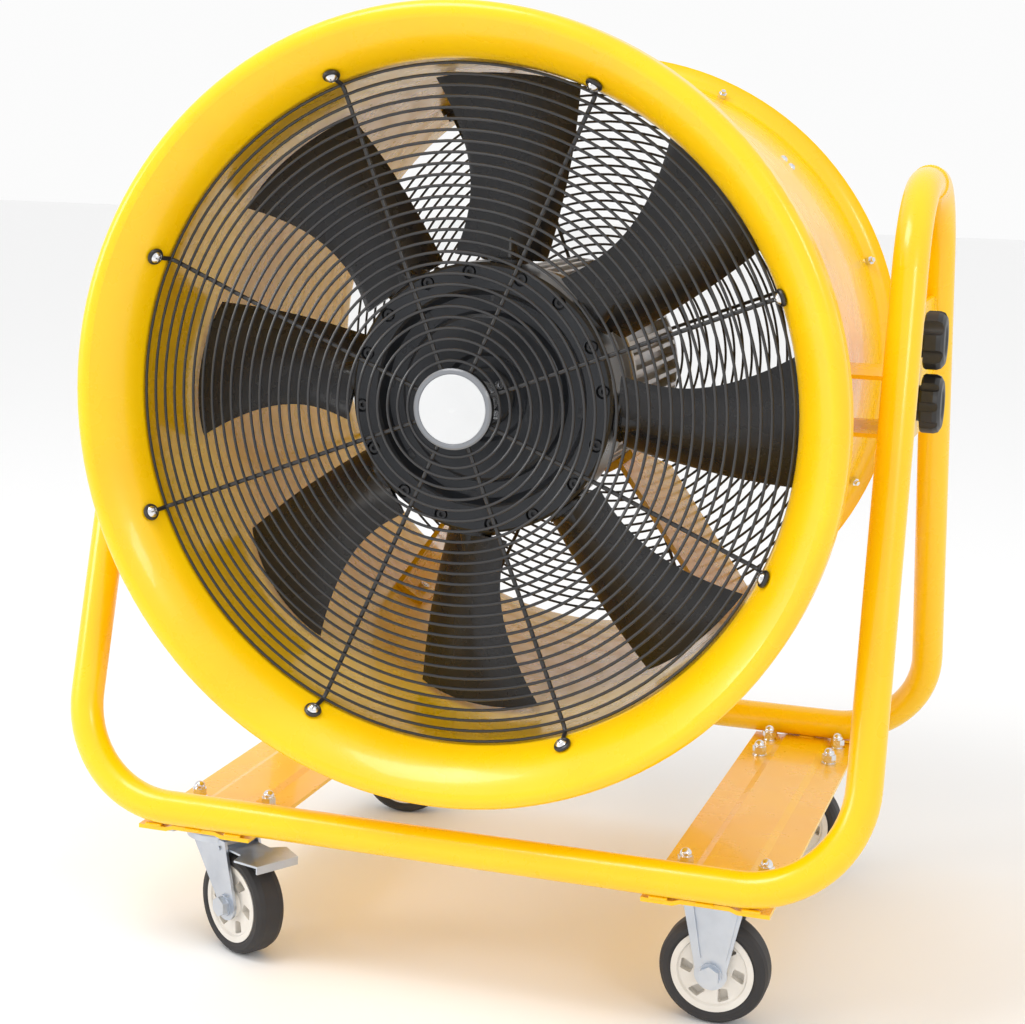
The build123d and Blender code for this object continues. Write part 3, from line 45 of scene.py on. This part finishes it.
def sprayed_surface(name, colour, shade, roughness, grain, depth, metallic=0.0, coat=0.0):
    """A finish whose shade drifts slowly and whose surface has a fine grain of that size and depth."""
    material = bpy.data.materials.new(name)
    material.use_nodes = True
    nodes = material.node_tree.nodes
    links = material.node_tree.links
    shader = nodes["Principled BSDF"]
    shader.inputs["Metallic"].default_value = metallic
    shader.inputs["Coat Weight"].default_value = coat
    shader.inputs["Coat Roughness"].default_value = 0.06
    place = nodes.new("ShaderNodeTexCoord")

    drift = nodes.new("ShaderNodeTexNoise")
    drift.inputs["Scale"].default_value = 9.0
    drift.inputs["Detail"].default_value = 6.0
    links.new(place.outputs["Object"], drift.inputs["Vector"])
    tint = nodes.new("ShaderNodeMix")
    tint.data_type = "RGBA"
    tint.inputs["A"].default_value = (*shade, 1)
    tint.inputs["B"].default_value = (*colour, 1)
    spread = nodes.new("ShaderNodeMapRange")
    spread.inputs["From Min"].default_value = 0.32
    spread.inputs["From Max"].default_value = 0.58
    links.new(drift.outputs["Fac"], spread.inputs["Value"])
    links.new(spread.outputs["Result"], tint.inputs["Factor"])
    links.new(tint.outputs["Result"], shader.inputs["Base Color"])

    smudge = nodes.new("ShaderNodeTexNoise")
    smudge.inputs["Scale"].default_value = 34.0
    smudge.inputs["Detail"].default_value = 8.0
    links.new(place.outputs["Object"], smudge.inputs["Vector"])
    gloss = nodes.new("ShaderNodeMapRange")
    gloss.inputs["From Min"].default_value = 0.3
    gloss.inputs["From Max"].default_value = 0.7
    gloss.inputs["To Min"].default_value = roughness * 0.88
    gloss.inputs["To Max"].default_value = roughness * 1.14
    links.new(smudge.outputs["Fac"], gloss.inputs["Value"])
    links.new(gloss.outputs["Result"], shader.inputs["Roughness"])

    peel = nodes.new("ShaderNodeTexNoise")
    peel.inputs["Scale"].default_value = grain
    peel.inputs["Detail"].default_value = 3.0
    links.new(place.outputs["Object"], peel.inputs["Vector"])
    relief = nodes.new("ShaderNodeBump")
    relief.inputs["Strength"].default_value = 0.35
    relief.inputs["Distance"].default_value = depth
    links.new(peel.outputs["Fac"], relief.inputs["Height"])
    links.new(relief.outputs["Normal"], shader.inputs["Normal"])
    return material


def dress(material, *names):
    """Gives CAD nodes this finish."""
    for name in names:
        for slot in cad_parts[name].material_slots:
            slot.material = material


def both(stem, ends=("left", "right")):
    return [f"{stem}_{end}" for end in ends]


FRONT_AND_REAR = ("front", "rear")
enamel = sprayed_surface("yellow_enamel", (1.0, 0.61, 0.0), (0.98, 0.565, 0.0), 0.28, 420, 0.0002, coat=0.25)
dress(enamel, "barrel", "inlet_bell", "outlet_flare", *both("motor_leg"), *both("tilt_bracket"))
dress(enamel, *both("side_plate"), *both("cross_plate"), *both("frame_loop", FRONT_AND_REAR))

# --- Weld beads -------------------------------------------------------------------------
# Short runs of overlapping weld drops under the enamel: round each tube joint, along the
# edges of the side plates, and as tacks where a base tube stands on a cross plate.
DROP = 0.0019


def lay_drop(welds, place, size=(DROP, DROP, DROP)):
    made = bmesh.ops.create_icosphere(welds, subdivisions=2, radius=1.0)
    bmesh.ops.scale(welds, vec=size, verts=made["verts"])
    bmesh.ops.translate(welds, vec=place, verts=made["verts"])


def keep_piece(name, mesh_in_work, material, body):
    for face in mesh_in_work.faces:
        face.smooth = True
    mesh = bpy.data.meshes.new(name)
    mesh_in_work.to_mesh(mesh)
    mesh_in_work.free()
    piece = bpy.data.objects.new(name, mesh)
    bpy.context.collection.objects.link(piece)
    mesh.materials.append(material)
    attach(piece, body)
    return piece


welds = bmesh.new()
loop_low, loop_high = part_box("frame_loop_front")
TUBE_R = 0.016
for side in (-1, 1):
    joint = Vector((side * (loop_high[0] - TUBE_R), loop_high[1], loop_high[2] - TUBE_R))
    for step in range(44):
        turn = 2 * pi * step / 44
        lay_drop(welds, joint + Vector((TUBE_R * cos(turn), 0, TUBE_R * sin(turn))), (DROP, DROP * 1.3, DROP))
LEG_LEAN = tan(radians(15.7))
for name in both("side_plate"):
    low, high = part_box(name)
    for step in range(round((high[2] - low[2]) / (DROP * 1.4))):
        rise = step * DROP * 1.4
        for x in (low[0], high[0]):
            lay_drop(welds, (x, low[1] + 0.0005 + rise * LEG_LEAN, low[2] + rise))
            lay_drop(welds, (x, high[1] - 0.0005 - rise * LEG_LEAN, low[2] + rise))
PLATE_TOP_DROP = 0.0024
rear_low, rear_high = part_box("frame_loop_rear")
for name in both("cross_plate"):
    low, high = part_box(name)
    middle = (low[0] + high[0]) / 2
    half = (high[0] - low[0]) / 2
    for tube_y in (loop_low[1] + TUBE_R, rear_high[1] - TUBE_R):
        for place in (-0.72, 0, 0.72):
            for step in range(-3, 4):
                for lean in (-1, 1):
                    spot = (middle + place * half + step * 0.0021, tube_y + lean * 0.0046, high[2] - 0.0009)
                    lay_drop(welds, spot, (0.0024, 0.0028, 0.0017))
keep_piece("weld_beads", welds, enamel, "frame")

# --- Guards -----------------------------------------------------------------------------
# Steel wire rings spot-welded on eight spokes, dipped in satin black. The middle of the
# front guard carries a plain white disc with a grey rim. Rubber eyelets sit under the screws.
satin_black = sprayed_surface("satin_black_dip", (0.022, 0.022, 0.024), (0.014, 0.014, 0.016), 0.36, 900, 0.0001,
                              coat=0.15)
dress(satin_black, "front_guard", "rear_guard")
soft_black = sprayed_surface("black_rubber", (0.02, 0.02, 0.02), (0.012, 0.012, 0.012), 0.7, 1200, 0.0001)
dress(soft_black, "guard_grommets", "motor_lead", *both("brake_shoe", FRONT_AND_REAR))

disc = sprayed_surface("white_disc_with_grey_rim", (0.70, 0.71, 0.72), (0.65, 0.66, 0.67), 0.34, 700, 0.0001,
                       coat=0.3)


def recolour_beyond(material, node, radius, colour, metallic):
    """Beyond this radius from the middle of a node, about Y, the finish has another colour and metal."""
    nodes = material.node_tree.nodes
    links = material.node_tree.links
    shader = nodes["Principled BSDF"]
    low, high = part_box(node)
    centred = nodes.new("ShaderNodeMapping")
    centred.inputs["Location"].default_value = (0, 0, -(low[2] + high[2]) / 2)
    flattened = nodes.new("ShaderNodeVectorMath")
    flattened.operation = "MULTIPLY"
    flattened.inputs[1].default_value = (1, 0, 1)
    reach = nodes.new("ShaderNodeVectorMath")
    reach.operation = "LENGTH"
    beyond = nodes.new("ShaderNodeMath")
    beyond.operation = "GREATER_THAN"
    beyond.inputs[1].default_value = radius
    outer = nodes.new("ShaderNodeMix")
    outer.data_type = "RGBA"
    outer.inputs["B"].default_value = (*colour, 1)
    metal = nodes.new("ShaderNodeMapRange")
    metal.inputs["To Min"].default_value = shader.inputs["Metallic"].default_value
    metal.inputs["To Max"].default_value = metallic
    links.new(nodes["Texture Coordinate"].outputs["Object"], centred.inputs["Vector"])
    links.new(centred.outputs["Vector"], flattened.inputs[0])
    links.new(flattened.outputs["Vector"], reach.inputs[0])
    links.new(reach.outputs["Value"], beyond.inputs[0])
    links.new(beyond.outputs["Value"], outer.inputs["Factor"])
    links.new(nodes["Mix"].outputs["Result"], outer.inputs["A"])
    links.new(outer.outputs["Result"], shader.inputs["Base Color"])
    links.new(beyond.outputs["Value"], metal.inputs["Value"])
    links.new(metal.outputs["Result"], shader.inputs["Metallic"])


recolour_beyond(disc, "guard_badge", 0.0313, (0.20, 0.21, 0.23), 0.0)
dress(disc, "guard_badge")

# --- Screws, nuts and washers -----------------------------------------------------------
# Bright plated steel, turned or pressed, with a faint random scuff in the gloss.
plated = sprayed_surface("bright_plating", (0.80, 0.80, 0.81), (0.68, 0.68, 0.70), 0.2, 1500, 0.00005, metallic=1.0)
dress(plated, *both("guard_screws", FRONT_AND_REAR), "barrel_bolts", "caster_nuts")

# --- Fan --------------------------------------------------------------------------------
# Eight moulded blades of filled nylon, clamped between two black cast hub halves, on a steel shaft;
# the hub screws are bright steel near the shaft and black beyond 45 mm.
nylon = sprayed_surface("moulded_nylon", (0.020, 0.021, 0.025), (0.014, 0.015, 0.018), 0.27, 650, 0.00012)
dress(nylon, "fan_blades", "switch_rocker")
cast_black = sprayed_surface("black_casting", (0.034, 0.037, 0.043), (0.022, 0.024, 0.029), 0.31, 480, 0.0002,
                             metallic=0.25)
dress(cast_black, "hub_front", "hub_rear")
shaft_steel = sprayed_surface("shaft_bolt_steel", (0.62, 0.63, 0.65), (0.48, 0.49, 0.51), 0.24, 1500, 0.00005,
                              metallic=1.0)
recolour_beyond(shaft_steel, "hub_screws", 0.045, (0.035, 0.036, 0.040), 0.3)
dress(shaft_steel, "hub_screws")

# --- Motor ------------------------------------------------------------------------------
# Cast aluminium housing with lengthwise fins and domed end covers, left bare; the
# windings inside are varnished steel and copper.
cast_metal = sprayed_surface("bare_casting", (0.62, 0.63, 0.65), (0.47, 0.48, 0.51), 0.42, 520, 0.0003, metallic=0.85)
dress(cast_metal, "motor_housing", *both("motor", ("front_cover", "rear_cover")))
varnish = sprayed_surface("varnished_stack", (0.30, 0.19, 0.11), (0.20, 0.12, 0.07), 0.45, 800, 0.0002, metallic=0.6)
dress(varnish, "stator")

# --- Knobs, switch box and glands -------------------------------------------------------
# Injection-moulded black plastic with a fine spark-eroded texture.
textured = sprayed_surface("textured_plastic", (0.022, 0.022, 0.024), (0.014, 0.014, 0.015), 0.42, 1100, 0.00018)
dress(textured, *both("pivot_knob"), *both("lock_knob"), "switch_box", "lead_glands")

# --- Casters ----------------------------------------------------------------------------
# Pressed steel forks and plates with a pale blue zinc passivation that varies from crystal
# to crystal, rubber tyres, and off-white moulded rims.
zinc = sprayed_surface("blue_zinc", (0.60, 0.64, 0.70), (0.42, 0.46, 0.53), 0.34, 900, 0.00008, metallic=1.0)
zinc_nodes = zinc.node_tree.nodes
crystals = zinc_nodes.new("ShaderNodeTexVoronoi")
crystals.inputs["Scale"].default_value = 160
dulled = zinc_nodes.new("ShaderNodeMapRange")
dulled.inputs["To Min"].default_value = 0.26
dulled.inputs["To Max"].default_value = 0.46
zinc.node_tree.links.new(zinc_nodes["Texture Coordinate"].outputs["Object"], crystals.inputs["Vector"])
zinc.node_tree.links.new(crystals.outputs["Color"], dulled.inputs["Value"])
zinc.node_tree.links.new(dulled.outputs["Result"], zinc_nodes["Principled BSDF"].inputs["Roughness"])
for stem in ("rigid_fork", "swivel_plate", "swivel_fork", "swivel_axle", "brake_pedal"):
    dress(zinc, *both(stem, FRONT_AND_REAR))
dress(zinc, "rigid_axles", "caster_bolts", "fan_shaft")
tread = sprayed_surface("tyre_rubber", (0.022, 0.020, 0.021), (0.032, 0.029, 0.029), 0.62, 700, 0.0002)
moulded = sprayed_surface("rim_plastic", (0.80, 0.76, 0.70), (0.70, 0.66, 0.60), 0.38, 600, 0.0001)
for stem in ("rigid", "swivel"):
    dress(tread, *both(f"{stem}_tyre", FRONT_AND_REAR))
    dress(moulded, *both(f"{stem}_rim", FRONT_AND_REAR))

# --- Floor, lights and camera -----------------------------------------------------------
# A pale studio floor, soft light from overhead and from both sides, and a long lens
# a little right of the inlet.
FLOOR_HALF = 14.0
floor_work = bmesh.new()
bmesh.ops.create_grid(floor_work, x_segments=1, y_segments=1, size=FLOOR_HALF)
floor_mesh = bpy.data.meshes.new("floor")
floor_work.to_mesh(floor_mesh)
floor_work.free()
floor = bpy.data.objects.new("floor", floor_mesh)
bpy.context.collection.objects.link(floor)
floor_paint = bpy.data.materials.new("pale_floor")
floor_paint.use_nodes = True
floor_paint.node_tree.nodes["Principled BSDF"].inputs["Base Color"].default_value = (0.93, 0.93, 0.93, 1)
floor_paint.node_tree.nodes["Principled BSDF"].inputs["Roughness"].default_value = 0.7
floor_mesh.materials.append(floor_paint)

world = bpy.data.worlds.new("studio")
world.use_nodes = True
world.node_tree.nodes["Background"].inputs["Color"].default_value = (1, 1, 1, 1)
world.node_tree.nodes["Background"].inputs["Strength"].default_value = 0.97
bpy.context.scene.world = world
bpy.context.scene.view_settings.view_transform = "Standard"


def hang_light(name, place, target, width, power):
    lamp = bpy.data.lights.new(name, "AREA")
    lamp.shape = "RECTANGLE"
    lamp.size = width
    lamp.size_y = width * 0.7
    lamp.energy = power
    holder = bpy.data.objects.new(name, lamp)
    holder.location = place
    holder.rotation_euler = (Vector(target) - Vector(place)).to_track_quat("-Z", "Y").to_euler()
    bpy.context.collection.objects.link(holder)


DRUM_CENTRE = (0, 0, 0.55)
hang_light("overhead_light", (-0.9, -1.2, 2.9), DRUM_CENTRE, 1.4, 30)
hang_light("left_light", (-2.4, -1.6, 1.0), DRUM_CENTRE, 0.9, 14)
hang_light("right_light", (2.4, -2.2, 1.9), DRUM_CENTRE, 0.8, 12)

VIEW_TURN = radians(19.15)
VIEW_RISE = radians(8.51)
VIEW_ROLL = radians(1.30)
back = Vector((sin(VIEW_TURN) * cos(VIEW_RISE), -cos(VIEW_TURN) * cos(VIEW_RISE), sin(VIEW_RISE)))
level = Vector((cos(VIEW_TURN), sin(VIEW_TURN), 0))
right = cos(VIEW_ROLL) * level + sin(VIEW_ROLL) * back.cross(level)
above = back.cross(right)
lens = bpy.data.cameras.new("camera")
lens.lens = 73.1
lens.sensor_width = 36
lens.shift_x = 0.0733
lens.shift_y = -0.082
camera = bpy.data.objects.new("camera", lens)
turned = Matrix((right, above, back)).transposed().to_4x4()
camera.matrix_world = Matrix.Translation((0.5881, -1.9859, 0.8068)) @ turned
bpy.context.collection.objects.link(camera)
bpy.context.scene.camera = camera
